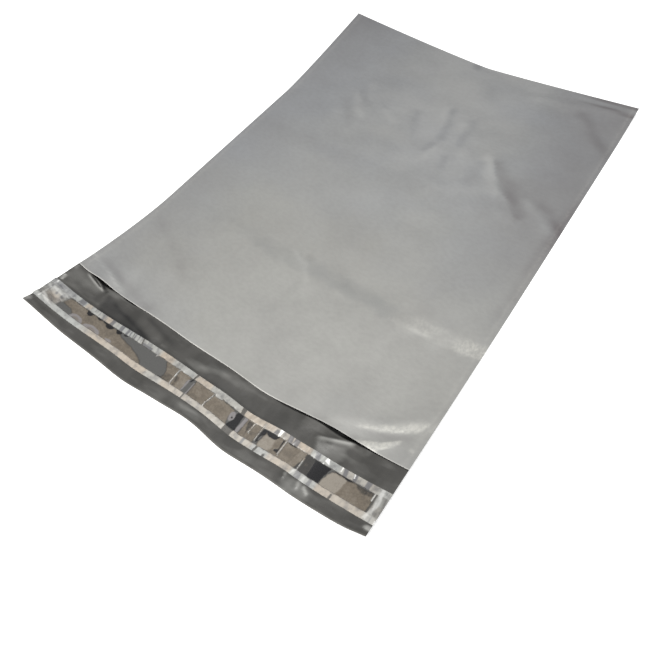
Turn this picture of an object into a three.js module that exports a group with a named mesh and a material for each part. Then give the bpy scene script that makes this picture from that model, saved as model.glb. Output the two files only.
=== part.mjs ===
// Poly mailer bag, lying empty on its back. One film is folded at the bottom and welded along both
// sides. The back panel runs on past the mouth as a lip, which carries a strip of adhesive under a
// release liner. Units are millimetres, +Z is up, and +Y runs from the lip to the fold.
import * as THREE from "three";

// Bag
const bagWidth = 305;
const pocketDepth = 405;
const lipLength = 51;
const filmThickness = 0.064;
const sideWeldWidth = 5;
const foldBandWidth = 3;

// Pocket, almost shut, and gaping a little in three places along its mouth
const pocketGap = 0.3;
const gapeDepth = 35;
const gapes = [
  { at: -127, height: 3.2, reach: 14 },
  { at: -20, height: 0.5, reach: 30 },
  { at: 92, height: 2.9, reach: 24 },
];

// Closure strip on the lip. Distances are from the mouth, towards the lip's free edge.
const linerStart = 19.5;
const linerEnd = 40.5;
const linerThickness = 0.04;
const adhesiveStart = 24;
const adhesiveEnd = 36.5;
const adhesiveThickness = 0.1;
const adhesiveLeft = -138;
const adhesiveRight = 144;
const layerClearance = 0.03;

// Corners that curl up from the surface the bag lies on. Each curl fades to nothing over the
// distances across and along, measured from its corner. A higher power curls its tip up more.
const curls = [
  { side: -1, end: "fold", rise: 14, across: 158, along: 130, power: 1.25 },
  { side: 1, end: "fold", rise: 9, across: 150, along: 50, power: 1.2 },
  { side: -1, end: "lip", rise: 22, across: 80, along: 150, power: 1.6 },
  { side: 1, end: "lip", rise: 17, across: 60, along: 260, power: 1.6 },
];

// The longest side of a facet
const facetLength = 18;

// The bag's middle, measured from the mouth
const middleY = (pocketDepth - lipLength) / 2;

// Lists every mark in order, with each interval between marks split into equal steps.
function splitStations(marks) {
  const stations = [marks[0]];
  for (let i = 1; i < marks.length; i += 1) {
    const start = marks[i - 1];
    const span = marks[i] - start;
    const steps = Math.ceil(span / facetLength);
    for (let step = 1; step <= steps; step += 1) {
      stations.push(start + (span * step) / steps);
    }
  }
  return stations;
}

const half = bagWidth / 2;
const weldHalf = half - sideWeldWidth;
const columns = splitStations([
  -half, -weldHalf, adhesiveLeft, adhesiveRight, weldHalf, half,
]);
const rows = splitStations([
  -lipLength, -linerEnd, -adhesiveEnd, -adhesiveStart, -linerStart, 0,
  pocketDepth - foldBandWidth, pocketDepth,
]);

// Height of the back panel's underside above the surface, y measured from the mouth.
function restingHeight(x, y) {
  let height = 0;
  for (const curl of curls) {
    const fromSide = half - curl.side * x;
    const fromEnd = curl.end === "fold" ? pocketDepth - y : y + lipLength;
    const share = 1 - fromSide / curl.across - fromEnd / curl.along;
    if (share > 0) {
      height += curl.rise * share ** curl.power;
    }
  }
  return height;
}

// Clear height between the two panels.
function pocketHeight(x, y) {
  let height = pocketGap;
  for (const gape of gapes) {
    const offset = (x - gape.at) / gape.reach;
    const depth = y / gapeDepth;
    height += gape.height * Math.exp(-offset * offset - depth * depth);
  }
  return height;
}

// Collects shared vertices and the triangles between them.
class FacetedSkin {
  constructor() {
    this.positions = [];
    this.triangles = [];
  }

  // Adds one vertex above the point x, y of the resting shape and returns its number.
  vertex(x, y, offset) {
    this.positions.push(x, y - middleY, restingHeight(x, y) + offset);
    return this.positions.length / 3 - 1;
  }

  // Adds a layer of vertices over a block of stations, as grid[i][j].
  layer(xs, ys, offsetAt) {
    return xs.map((x, i) => ys.map((y, j) => this.vertex(x, y, offsetAt(x, y, i, j))));
  }

  // Adds a four-sided facet, its corners anticlockwise as seen from outside.
  quad(a, b, c, d) {
    this.triangles.push(a, b, c, a, c, d);
  }

  // Covers a block of a layer's cells, facing up or down. Each cell is split along the same
  // diagonal either way, so that layers lying on each other stay parallel.
  cover(grid, fromColumn, toColumn, fromRow, toRow, facesUp) {
    for (let i = fromColumn; i < toColumn; i += 1) {
      for (let j = fromRow; j < toRow; j += 1) {
        const right = grid[i + 1][j];
        const above = grid[i][j + 1];
        const across = grid[i + 1][j + 1];
        if (facesUp) {
          this.quad(grid[i][j], right, across, above);
        } else {
          this.quad(grid[i][j], above, across, right);
        }
      }
    }
  }

  // Closes the gap between two lines of vertices, facing right of the walk from first to last.
  wall(lower, upper) {
    for (let i = 0; i + 1 < lower.length; i += 1) {
      this.quad(lower[i], lower[i + 1], upper[i + 1], upper[i]);
    }
  }

  geometry() {
    const geometry = new THREE.BufferGeometry();
    geometry.setAttribute("position", new THREE.Float32BufferAttribute(this.positions, 3));
    geometry.setIndex(this.triangles);
    geometry.computeVertexNormals();
    return geometry;
  }
}

// The four edges of a block of a layer, walked anticlockwise as seen from above.
function outline(grid, fromColumn, toColumn, fromRow, toRow) {
  const front = grid.slice(fromColumn, toColumn + 1).map((line) => line[fromRow]);
  const right = grid[toColumn].slice(fromRow, toRow + 1);
  const back = grid.slice(fromColumn, toColumn + 1).map((line) => line[toRow]);
  const left = grid[fromColumn].slice(fromRow, toRow + 1);
  return { front, right, back: back.reverse(), left: left.reverse() };
}

// A plain sheet of even thickness that follows the resting shape.
function sheetGeometry(xs, ys, underside, thickness) {
  const skin = new FacetedSkin();
  const lower = skin.layer(xs, ys, () => underside);
  const upper = skin.layer(xs, ys, () => underside + thickness);
  const lastColumn = xs.length - 1;
  const lastRow = ys.length - 1;
  skin.cover(lower, 0, lastColumn, 0, lastRow, false);
  skin.cover(upper, 0, lastColumn, 0, lastRow, true);
  const lowerEdges = outline(lower, 0, lastColumn, 0, lastRow);
  const upperEdges = outline(upper, 0, lastColumn, 0, lastRow);
  for (const edge of ["front", "right", "back", "left"]) {
    skin.wall(lowerEdges[edge], upperEdges[edge]);
  }
  return skin.geometry();
}

// The film: four layers of vertices, which are the underside, the back panel's inner face, the
// front panel's inner face and the front panel's outer face.
function bagGeometry() {
  const skin = new FacetedSkin();
  const lastColumn = columns.length - 1;
  const lastRow = rows.length - 1;
  const mouth = rows.indexOf(0);
  const weldLeft = columns.indexOf(-weldHalf);
  const weldRight = columns.indexOf(weldHalf);
  const foldLine = rows.indexOf(pocketDepth - foldBandWidth);
  const inPocket = (i, j) => i > weldLeft && i < weldRight && j >= mouth && j < foldLine;

  const underside = skin.layer(columns, rows, () => 0);
  const backInner = skin.layer(columns, rows, () => filmThickness);
  // In the welds and the fold the front panel sits on the back one, so their inner faces are one.
  const frontInner = backInner.map((line) => line.slice());
  const frontOuter = backInner.map((line) => line.slice());
  columns.forEach((x, i) => {
    for (let j = mouth; j <= lastRow; j += 1) {
      const lift = inPocket(i, j) ? pocketHeight(x, rows[j]) : 0;
      if (inPocket(i, j)) {
        frontInner[i][j] = skin.vertex(x, rows[j], filmThickness + lift);
      }
      frontOuter[i][j] = skin.vertex(x, rows[j], 2 * filmThickness + lift);
    }
  });

  skin.cover(underside, 0, lastColumn, 0, lastRow, false);
  skin.cover(backInner, 0, lastColumn, 0, mouth, true);
  skin.cover(backInner, weldLeft, weldRight, mouth, foldLine, true);
  skin.cover(frontInner, weldLeft, weldRight, mouth, foldLine, false);
  skin.cover(frontOuter, 0, lastColumn, mouth, lastRow, true);

  const lowerEdges = outline(underside, 0, lastColumn, 0, lastRow);
  const backEdges = outline(backInner, 0, lastColumn, 0, lastRow);
  for (const edge of ["front", "right", "back", "left"]) {
    skin.wall(lowerEdges[edge], backEdges[edge]);
  }
  const pocketLower = outline(frontInner, 0, lastColumn, mouth, lastRow);
  const pocketUpper = outline(frontOuter, 0, lastColumn, mouth, lastRow);
  for (const edge of ["front", "right", "back", "left"]) {
    skin.wall(pocketLower[edge], pocketUpper[edge]);
  }
  return skin.geometry();
}

// The stations between two marks, both included.
function between(stations, first, last) {
  return stations.filter((value) => value >= first && value <= last);
}

function adhesiveGeometry() {
  return sheetGeometry(
    between(columns, adhesiveLeft, adhesiveRight),
    between(rows, -adhesiveEnd, -adhesiveStart),
    filmThickness + layerClearance,
    adhesiveThickness,
  );
}

function linerGeometry() {
  return sheetGeometry(
    columns,
    between(rows, -linerEnd, -linerStart),
    filmThickness + 2 * layerClearance + adhesiveThickness,
    linerThickness,
  );
}

function part(name, geometry, color, roughness) {
  const material = new THREE.MeshStandardMaterial({ color, roughness, metalness: 0 });
  const mesh = new THREE.Mesh(geometry, material);
  mesh.name = name;
  return mesh;
}

const group = new THREE.Group();
group.add(part("bag_film", bagGeometry(), 0x9d9e9b, 0.42));
group.add(part("adhesive_strip", adhesiveGeometry(), 0x7f776b, 0.35));
group.add(part("release_liner", linerGeometry(), 0xc3b8ac, 0.25));

export default group;
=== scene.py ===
"""A poly mailer bag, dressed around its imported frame.

The bag is one film, folded at the bottom and welded along both sides, with its back panel running on
as a lip. The lip carries an adhesive strip under a clear release liner. The scene is in metres, in
the frame's own axes: +X across the bag, +Y from the lip to the fold, +Z up. Shapes and marks are given
in millimetres: u across the bag from its centre line, v from its mouth, positive towards the fold.
"""

import logging
import math
from dataclasses import dataclass, field
from enum import Enum

import bpy
import numpy as np
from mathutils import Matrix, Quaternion, Vector


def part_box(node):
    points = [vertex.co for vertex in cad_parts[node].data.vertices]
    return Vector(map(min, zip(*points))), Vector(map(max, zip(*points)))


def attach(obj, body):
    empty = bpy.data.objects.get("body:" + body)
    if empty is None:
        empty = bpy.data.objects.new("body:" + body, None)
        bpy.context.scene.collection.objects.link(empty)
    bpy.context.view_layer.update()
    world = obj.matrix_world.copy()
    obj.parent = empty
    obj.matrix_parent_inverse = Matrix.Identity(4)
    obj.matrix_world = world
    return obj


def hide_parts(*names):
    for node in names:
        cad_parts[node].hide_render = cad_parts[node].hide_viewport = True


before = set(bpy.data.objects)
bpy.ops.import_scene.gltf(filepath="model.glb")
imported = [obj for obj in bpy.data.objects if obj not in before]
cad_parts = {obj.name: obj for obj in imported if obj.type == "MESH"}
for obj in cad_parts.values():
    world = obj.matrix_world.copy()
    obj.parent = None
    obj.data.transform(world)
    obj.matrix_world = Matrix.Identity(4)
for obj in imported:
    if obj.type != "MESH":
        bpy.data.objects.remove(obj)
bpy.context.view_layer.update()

MM = 0.001
LOG = logging.getLogger("mailer")
BODY = "root"

# How thick the film is and how wide its side welds are, in millimetres
FILM_GAUGE = 0.064
WELD = 4.0

Points = tuple[tuple[float, float], ...]


class Slot(Enum):
    """The material slots' names."""

    FILM = "outer_film"
    ADHESIVE = "adhesive"
    LINER = "liner"


class Face(Enum):
    """Which of a film's finishes a face takes."""

    OUTER = 0
    INNER = 1


# ---- Fields: smooth functions over the bag, in millimetres from its centre line and from its mouth


def smooth_step(low: float, high: float, value: np.ndarray) -> np.ndarray:
    """Rises smoothly from 0 at low to 1 at high.

    Args:
        low: where the rise starts.
        high: where it ends; it may be below low, and the step then falls.
        value: the values to step.

    Returns:
        The stepped values, from 0 to 1.
    """
    share = np.clip((value - low) / (high - low), 0, 1)
    return share * share * (3 - 2 * share)


def bump(value: np.ndarray, centre: float, reach: float) -> np.ndarray:
    """A bell of height 1 at centre that has faded to a third at reach."""
    return np.exp(-(((value - centre) / reach) ** 2))


def value_noise(u: np.ndarray, v: np.ndarray, size: tuple[float, float], seed: int) -> np.ndarray:
    """Smooth noise from -1 to 1 on a lattice of random values.

    Args:
        u: places across.
        v: places along.
        size: the lattice's cell, across and along, in millimetres.
        seed: picks the lattice.

    Returns:
        The noise at each place.
    """
    lattice = np.random.default_rng(seed).uniform(-1, 1, (257, 257))
    x = u / size[0] + 128
    y = v / size[1] + 60
    column = np.floor(x).astype(int)
    row = np.floor(y).astype(int)
    right = smooth_step(0, 1, x - column)
    above = smooth_step(0, 1, y - row)
    column %= 256
    row %= 256
    low = lattice[column, row] * (1 - right) + lattice[column + 1, row] * right
    high = lattice[column, row + 1] * (1 - right) + lattice[column + 1, row + 1] * right
    return low * (1 - above) + high * above


def layered_noise(
    u: np.ndarray, v: np.ndarray, size: tuple[float, float], seed: int, layers: int = 3
) -> np.ndarray:
    """Sums value_noise at ever finer sizes.

    Args:
        u: places across.
        v: places along.
        size: the coarsest cell, across and along, in millimetres.
        seed: picks the first lattice.
        layers: how many sizes are summed, each half the one before.

    Returns:
        The noise at each place, about -1 to 1.
    """
    total = np.zeros_like(u, dtype=float)
    for layer in range(layers):
        share = 0.5**layer
        total += share * value_noise(u, v, (size[0] * share, size[1] * share), seed + layer)
    return total / 1.5


@dataclass(frozen=True)
class Crease:
    """A soft ridge along a line of points, steeper on one side than on the other.

    Points are (across, from the mouth) in millimetres. Left and right are as seen when walking
    from the first point to the last.
    """

    points: Points
    height: float
    left_reach: float
    right_reach: float
    fade: float = 12.0

    def height_at(self, u: np.ndarray, v: np.ndarray) -> np.ndarray:
        """The ridge's height over each place.

        Args:
            u: places across.
            v: places from the mouth.

        Returns:
            Heights in millimetres.
        """
        nearest = np.full_like(u, np.inf, dtype=float)
        side = np.zeros_like(nearest)
        walked = np.zeros_like(nearest)
        start = 0
        for (u0, v0), (u1, v1) in zip(self.points, self.points[1:]):
            du, dv = u1 - u0, v1 - v0
            length = math.hypot(du, dv)
            along = ((u - u0) * du + (v - v0) * dv) / length
            held = np.clip(along, 0, length)
            distance = np.hypot(u - u0 - held * du / length, v - v0 - held * dv / length)
            closer = distance < nearest
            nearest = np.where(closer, distance, nearest)
            side = np.where(closer, du * (v - v0) - dv * (u - u0), side)
            walked = np.where(closer, start + held, walked)
            start += length
        reach = np.where(side > 0, self.left_reach, self.right_reach)
        ends = smooth_step(0, self.fade, walked) * smooth_step(start, start - self.fade, walked)
        return self.height * ends * np.exp(-((nearest / reach) ** 2))


@dataclass(frozen=True)
class Curl:
    """A corner that curls up from what the bag lies on, and fades out over across and along."""

    side: int
    at_fold: bool
    rise: float
    across: float
    along: float
    power: float = 1.6


@dataclass(frozen=True)
class Gape:
    """A place along the mouth where the front panel stands off the lip."""

    at: float
    height: float
    reach: float


@dataclass
class BagShape:
    """The resting shape that the film, the adhesive and the liner all follow."""

    curls: tuple[Curl, ...] = (
        Curl(-1, True, 14, 158, 130, 1.25),
        Curl(1, True, 9, 150, 50, 1.2),
        Curl(-1, False, 22, 80, 150),
        Curl(1, False, 17, 60, 260),
    )
    gapes: tuple[Gape, ...] = (
        Gape(-127, 3.4, 11),
        Gape(-98, 1, 9),
        Gape(-20, 0.5, 30),
        Gape(66, 1.2, 18),
        Gape(98.5, 3.2, 17),
    )
    gape_depth: float = 30.0
    pocket_gap: float = 0.3
    liner_to_mouth: float = 19.5
    half_width: float = field(init=False)
    lip: float = field(init=False)
    pocket_depth: float = field(init=False)
    mouth_y: float = field(init=False)

    def __post_init__(self) -> None:
        """Reads the bag's outline from the frame; the mouth is a set way past the liner."""
        low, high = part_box("bag_film")
        liner_low, liner_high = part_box("release_liner")
        self.half_width = (high.x - low.x) / 2 / MM
        liner_width = (liner_high.y - liner_low.y) / MM
        free_edge = (liner_low.y - low.y) / MM
        self.lip = free_edge + liner_width + self.liner_to_mouth
        self.pocket_depth = (high.y - low.y) / MM - self.lip
        self.mouth_y = low.y / MM + self.lip

    def resting_height(self, u: np.ndarray, v: np.ndarray) -> np.ndarray:
        """Height of the back panel's underside above the surface.

        Args:
            u: places across.
            v: places from the mouth.

        Returns:
            Heights in millimetres, never below 0.
        """
        height = np.zeros_like(u, dtype=float)
        for curl in self.curls:
            from_side = self.half_width - curl.side * u
            from_end = self.pocket_depth - v if curl.at_fold else v + self.lip
            share = np.clip(1 - from_side / curl.across - from_end / curl.along, 0, None)
            height += curl.rise * share**curl.power
        return height

    def lip_waves(self, u: np.ndarray, v: np.ndarray) -> np.ndarray:
        """Soft waves of the lip and its free edge, above the resting height.

        Args:
            u: places across.
            v: places from the mouth.

        Returns:
            Heights in millimetres, never below 0.
        """
        on_lip = smooth_step(14, -6, v)
        broad = 0.4 * (1 + value_noise(u, v, (40, 60), 5))
        edge = smooth_step(-34, -51, v) * 0.5 * (1 + value_noise(u, v, (17, 60), 9))
        height = on_lip * (broad + edge)
        for crease in LIP_CREASES:
            height += crease.height_at(u, v)
        return np.clip(height, 0, None)

    def back_height(self, u: np.ndarray, v: np.ndarray) -> np.ndarray:
        """Height of the back panel's underside with the lip's waves on it."""
        return self.resting_height(u, v) + self.lip_waves(u, v)

    def pocket_height(self, u: np.ndarray, v: np.ndarray) -> np.ndarray:
        """Clear height between the two panels.

        Args:
            u: places across.
            v: places from the mouth.

        Returns:
            Heights in millimetres, never below a tenth.
        """
        height = self.pocket_gap + 0.25 * layered_noise(u, v, (90, 90), 21)
        puckered = bump(u, 60, 90) * bump(v, 300, 80)
        height += puckered * 0.7 * layered_noise(u, v, (24, 24), 31, 4)
        for gape in self.gapes:
            height += gape.height * bump(u, gape.at, gape.reach) * bump(v, 0, self.gape_depth)
        strayed = self.strayed(u, v)
        for crease in PANEL_CREASES:
            height += crease.height_at(*strayed) * (1 + 0.35 * value_noise(u, v, (11, 11), 23))
        from_weld = self.half_width - WELD - np.abs(u)
        held = smooth_step(0, 16, from_weld) * smooth_step(0, 8, self.pocket_depth - 2 - v)
        return np.clip(0.1 + (height - 0.1) * held, 0.1, None)

    def strayed(self, u: np.ndarray, v: np.ndarray) -> tuple[np.ndarray, np.ndarray]:
        """Pushes places about a little, so that creases don't run quite straight.

        Args:
            u: places across.
            v: places from the mouth.

        Returns:
            The pushed places, across and from the mouth.
        """
        loose = smooth_step(40, 90, v) * smooth_step(402, 370, v) * 2.4
        sideways, onward = (loose * layered_noise(u, v, (13, 13), seed) for seed in (25, 27))
        return u + sideways, v + onward

    def mouth_shift(self, u: np.ndarray, v: np.ndarray) -> np.ndarray:
        """How far the front panel's slack edge strays over the lip.

        Args:
            u: places across.
            v: places from the mouth.

        Returns:
            Distances in millimetres.
        """
        wave = 1.2 * bump(u, -100, 30) + 2.8 * bump(u, -22, 42) + 4.3 * bump(u, 42, 33)
        wave += 0.7 * bump(u, -150, 12) - 0.4 * bump(u, 115, 25)
        return -wave * bump(v, 0, 60)

    def edge_shift(self, u: np.ndarray, v: np.ndarray) -> np.ndarray:
        """How far the lip's free edge strays from straight.

        Args:
            u: places across.
            v: places from the mouth.

        Returns:
            Distances in millimetres.
        """
        wave = 2.4 * bump(u, -148, 36) - 1.6 * bump(u, -55, 28) + 1.3 * bump(u, 8, 20)
        wave += 2.4 * bump(u, 156, 14) - 0.6 * bump(u, 95, 25)
        return wave * smooth_step(-41, -51, v)

    def lip_drift(self, u: np.ndarray, v: np.ndarray) -> np.ndarray:
        """How far the slack lip has drifted along the bag.

        Args:
            u: places across.
            v: places from the mouth.

        Returns:
            Distances in millimetres.
        """
        wave = 0.2 * bump(u, 110, 40) - 2 * bump(u, -128, 38) - 0.4 * bump(u, -50, 25)
        wave -= 0.2 * bump(u, 0, 20) + 2.2 * bump(u, 42, 20) + 0.3 * bump(u, -56, 20) + 0.3 * bump(u, 66, 14)
        spread = 0.09 * bump(u, -50, 25) + 0.06 * smooth_step(78, 100, u) - 0.03 * bump(u, 0, 20)
        spread += 0.05 * bump(u, 66, 14)
        spread *= np.clip(v + 30, -11, 11) * smooth_step(-53, -42, v)
        return (wave + spread) * smooth_step(-6, -20, v)

    def place(self, u: np.ndarray, v: np.ndarray, height: np.ndarray) -> np.ndarray:
        """Points in the frame, in metres, from places on the bag and heights in millimetres."""
        return np.stack([u, v + self.mouth_y, height], axis=-1) * MM


@dataclass(frozen=True)
class Blot:
    """A many-sided mark, given by its corners."""

    points: Points

    def depth_at(self, along: np.ndarray, across: np.ndarray) -> np.ndarray:
        """How far inside the mark each place is; it is below 0 outside.

        Args:
            along: places along the strip.
            across: places across it, from its centre line.

        Returns:
            Depths in millimetres.
        """
        nearest = np.full_like(along, np.inf, dtype=float)
        inside = np.zeros(along.shape, bool)
        for (u0, w0), (u1, w1) in zip(self.points, self.points[1:] + self.points[:1]):
            du, dw = u1 - u0, w1 - w0
            held = np.clip(((along - u0) * du + (across - w0) * dw) / (du * du + dw * dw), 0, 1)
            nearest = np.minimum(nearest, np.hypot(along - u0 - held * du, across - w0 - held * dw))
            crosses = (w0 > across) != (w1 > across)
            rise = dw if dw else 1
            inside ^= crosses & (along < u0 + du * (across - w0) / rise)
        return np.where(inside, nearest, -nearest)


@dataclass(frozen=True)
class Disc:
    """A round or oval mark."""

    along: float
    across: float
    reach_along: float
    reach_across: float

    def depth_at(self, along: np.ndarray, across: np.ndarray) -> np.ndarray:
        """How far inside the mark each place is, in millimetres; it is below 0 outside."""
        off = np.hypot((along - self.along) / self.reach_along, (across - self.across) / self.reach_across)
        return (1 - off) * min(self.reach_along, self.reach_across)


Mark = Blot | Disc


def box_mark(start: float, end: float, low: float, high: float, lean: float = 0) -> Blot:
    """A four-sided mark, leaning by lean along the strip for each millimetre across.

    Args:
        start: where it starts along the strip, in millimetres.
        end: where it ends.
        low: its near side, across from the centre line.
        high: its far side.
        lean: how far it leans along the strip for each millimetre across.

    Returns:
        The mark.
    """
    corners = ((start, low), (end, low), (end, high), (start, high))
    return Blot(tuple((along + lean * across, across) for along, across in corners))


PANEL_CREASES: tuple[Crease, ...] = (
    # the memory fold that crosses the bag: its far flank is steep, then, past a twist, its near one
    Crease(((-112, 106), (-51, 99), (-4, 95)), 0.6, 9, 36, 30),
    Crease(((-1, 99), (31, 97), (69, 94), (94, 94)), 0.9, 9, 40, 9),
    Crease(((84, 101), (120, 102.5), (152, 107)), 1.15, 40, 8.5, 16),
    Crease(((-24, 111), (-9, 105), (0, 99), (8, 86)), 0.4, 3.5, 4.5, 9),
    # the sharp folds of the puckered corner
    Crease(((58, 298), (67, 284), (79, 269), (93, 254), (110, 239), (124, 227)), 1.15, 6.5, 12, 16),
    Crease(((104, 263), (121, 251), (137, 240), (154, 227)), 0.85, 7, 8, 14),
    Crease(((-1, 348), (6, 318), (11, 298), (12, 280)), 0.4, 6, 7, 24),
    Crease(((26, 330), (27, 306), (31, 284)), 0.5, 5.5, 4.5, 14),
    Crease(((16, 284), (13, 266), (14, 244)), 0.34, 6, 5, 14),
    Crease(((22, 278), (33, 263), (35, 244)), 0.5, 5, 5.5, 12),
    Crease(((50, 286), (65, 264), (69, 242)), 0.5, 7, 8, 14),
    Crease(((-29, 314), (-23, 299), (-12, 282)), 0.36, 5, 5, 12),
    Crease(((-94, 312), (-78, 296), (-60, 272)), 0.45, 7, 7, 16),
    Crease(((-88, 338), (-70, 320)), 0.45, 7, 7, 12),
    Crease(((-84, 290), (-70, 256)), 0.35, 7, 7, 14),
    # the lines that run in from the corners
    Crease(((-160, 17), (-130, 10), (-108, 2.5)), 0.45, 3.2, 3.2, 8),
    Crease(((-142, 76), (-108, 61), (-76, 40)), 0.5, 8, 12, 16),
    Crease(((38, 383), (96, 389), (152, 396)), 0.7, 4, 5, 16),
    Crease(((108, 384), (124, 364), (151, 340)), 1, 5.5, 7, 12),
    Crease(((0, 405), (20, 368), (34, 348)), 0.7, 9, 12, 16),
    # the two short folds by the right-hand end of the mouth
    Crease(((92, 4.5), (105, 10.5), (128, 22), (152, 34), (200, 57)), 1, 6, 5, 40),
    Crease(((112, -2), (127, 5.5), (140, 15)), 0.8, 2.6, 4.5, 8),
)

# Painted highlights (above 0) and painted shade (below 0) on the outer face, along the lit and shaded flanks
# of its folds
PANEL_STREAKS: tuple[Crease, ...] = (
    Crease(((150, 215), (150.5, 285)), -0.3, 5, 2, 14),
    Crease(((58, 297), (69, 277), (80, 261), (98, 242)), 0.15, 5, 7, 14),
    Crease(((68, 291), (76, 279), (84, 266.5), (95, 254), (106, 243.5), (118, 230)), -0.34, 8.5, 1.8, 8),
    Crease(((84, 274), (98, 261), (113, 246)), -0.18, 10, 4, 12),
    Crease(((148, 110), (147, 180), (149, 245)), -0.22, 5, 5, 24),
    Crease(((-152, 226), (-40, 229), (70, 226)), -0.07, 3, 15, 30),
    Crease(((108, 259), (121, 249), (138, 237), (146, 230)), 0.16, 3.6, 3.6, 8),
    Crease(((118, 264), (134, 254), (144, 245), (156, 232)), -0.24, 6.5, 3.5, 12),
    Crease(((136, 250), (145, 242), (155, 231)), -0.16, 3.5, 3.5, 6),
    Crease(((6, 335), (8, 318), (12.5, 304), (15, 291), (13, 280)), -0.24, 3.8, 3.8, 9),
    Crease(((-2, 336), (3, 316), (7, 300)), 0.07, 4, 4, 9),
    Crease(((22, 324), (23, 298)), 0.13, 4.5, 4.5, 8),
    Crease(((28, 331), (34, 311), (32, 298), (33, 283)), -0.14, 3.2, 3.2, 8),
    Crease(((13, 283), (9, 272), (8, 261)), -0.18, 3.2, 3.2, 7),
    Crease(((16, 282), (15, 268), (17, 250)), 0.11, 3.2, 3.2, 8),
    Crease(((26, 274), (32, 262), (37, 248)), -0.18, 3.4, 3.4, 8),
    Crease(((38, 292), (42, 276), (50, 262)), 0.08, 5, 5, 9),
    Crease(((61, 284), (62, 262), (60, 244)), -0.15, 5, 5, 9),
    Crease(((-91, 319), (-80, 305), (-66, 293)), -0.16, 3.4, 3.4, 8),
    Crease(((-92, 308), (-80, 296), (-68, 281), (-61, 269)), 0.11, 4.5, 4.5, 9),
    Crease(((-98, 297), (-85, 285), (-77, 272), (-67, 254)), -0.14, 4, 4, 9),
    Crease(((-88, 328), (-76, 315)), 0.1, 3.5, 3.5, 6),
    Crease(((-58, 299), (-40, 290), (-27, 284)), 0.09, 4, 4, 9),
    Crease(((-64, 306), (-46, 302)), -0.09, 3.5, 3.5, 7),
    Crease(((-25, 315), (-20, 299), (-12, 285), (-6, 272)), -0.09, 3.8, 3.8, 10),
    Crease(((102, 390), (124, 367), (140, 350), (156, 337)), -0.22, 4.5, 5.5, 14),
    Crease(((116, 394), (133, 374)), 0.1, 5, 5, 8),
    Crease(((92, 396), (124, 395.4), (150, 394), (200, 391)), -0.62, 1.5, 1.3, 52),
    Crease(((78, 400), (120, 399.6), (190, 399)), 0.2, 2.2, 2.2, 30),
    Crease(((96, 404), (120, 403.6), (190, 403)), -0.4, 1.6, 1.2, 24),
    Crease(((-7, 410), (-4, 394)), -0.4, 4.5, 4.5, 8),
    Crease(((20, 388), (25, 366), (37, 350)), -0.06, 6, 6, 12),
    # the twist in the memory fold
    Crease(((-26, 111.5), (-11, 105.5), (-2, 100), (4, 94), (9, 83)), 0.14, 2.2, 2.2, 10),
    Crease(((-10, 114), (1, 107)), -0.24, 2.6, 2.6, 4),
    # by the mouth's left-hand end
    Crease(((-162, 17), (-130, 9), (-106, 1.5)), 0.3, 1.4, 1.4, 8),
    Crease(((-150, 17), (-106, 9), (-68, 0)), -0.24, 4.5, 4, 14),
    Crease(((-150, 79), (-108, 59), (-70, 34)), -0.16, 5.5, 3.5, 14),
    # by its right-hand end
    Crease(((84, 2), (105, 9.5), (122, 18), (138, 27), (147, 33), (152, 36)), 0.2, 4, 2.6, 14),
    Crease(((110, 8), (130, 15), (147, 22)), -0.3, 3, 3.4, 9),
    Crease(((116, 1), (128, 7), (138, 14.6)), 0.3, 0.9, 2, 4),
)

LIP_CREASES: tuple[Crease, ...] = (
    # the pinched fold by the left-hand end of the mouth
    Crease(((-142, -1.5), (-130, -4.4), (-118, -7.4)), 0.7, 1, 1.6, 6),
    Crease(((-133, -0.4), (-118, -6.6)), 0.6, 0.8, 0.8, 5),
    # soft folds that slant down the lip
    Crease(((-121, -6), (-88, -11), (-52, -18)), 1.3, 9, 3.4, 10),
    Crease(((-90, 1), (-66, -6), (-34, -13)), 0.9, 9, 4.5, 12),
    Crease(((-20, -16), (8, -9), (36, -8)), 0.8, 6, 6, 12),
    # the fan under the gape
    Crease(((86, -12), (102, -5), (117, 2)), 0.85, 2, 9, 5),
    Crease(((70, -9), (80, -4), (92, 2)), 0.4, 3, 5, 6),
    # the buckled free edge below it
    Crease(((86, -47), (87, -36)), 0.4, 1.8, 1.8, 4),
    Crease(((97, -48), (98, -36)), 0.5, 2.2, 2.2, 4),
    Crease(((107, -47), (101, -40)), 0.4, 1.8, 2.2, 3),
)
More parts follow.
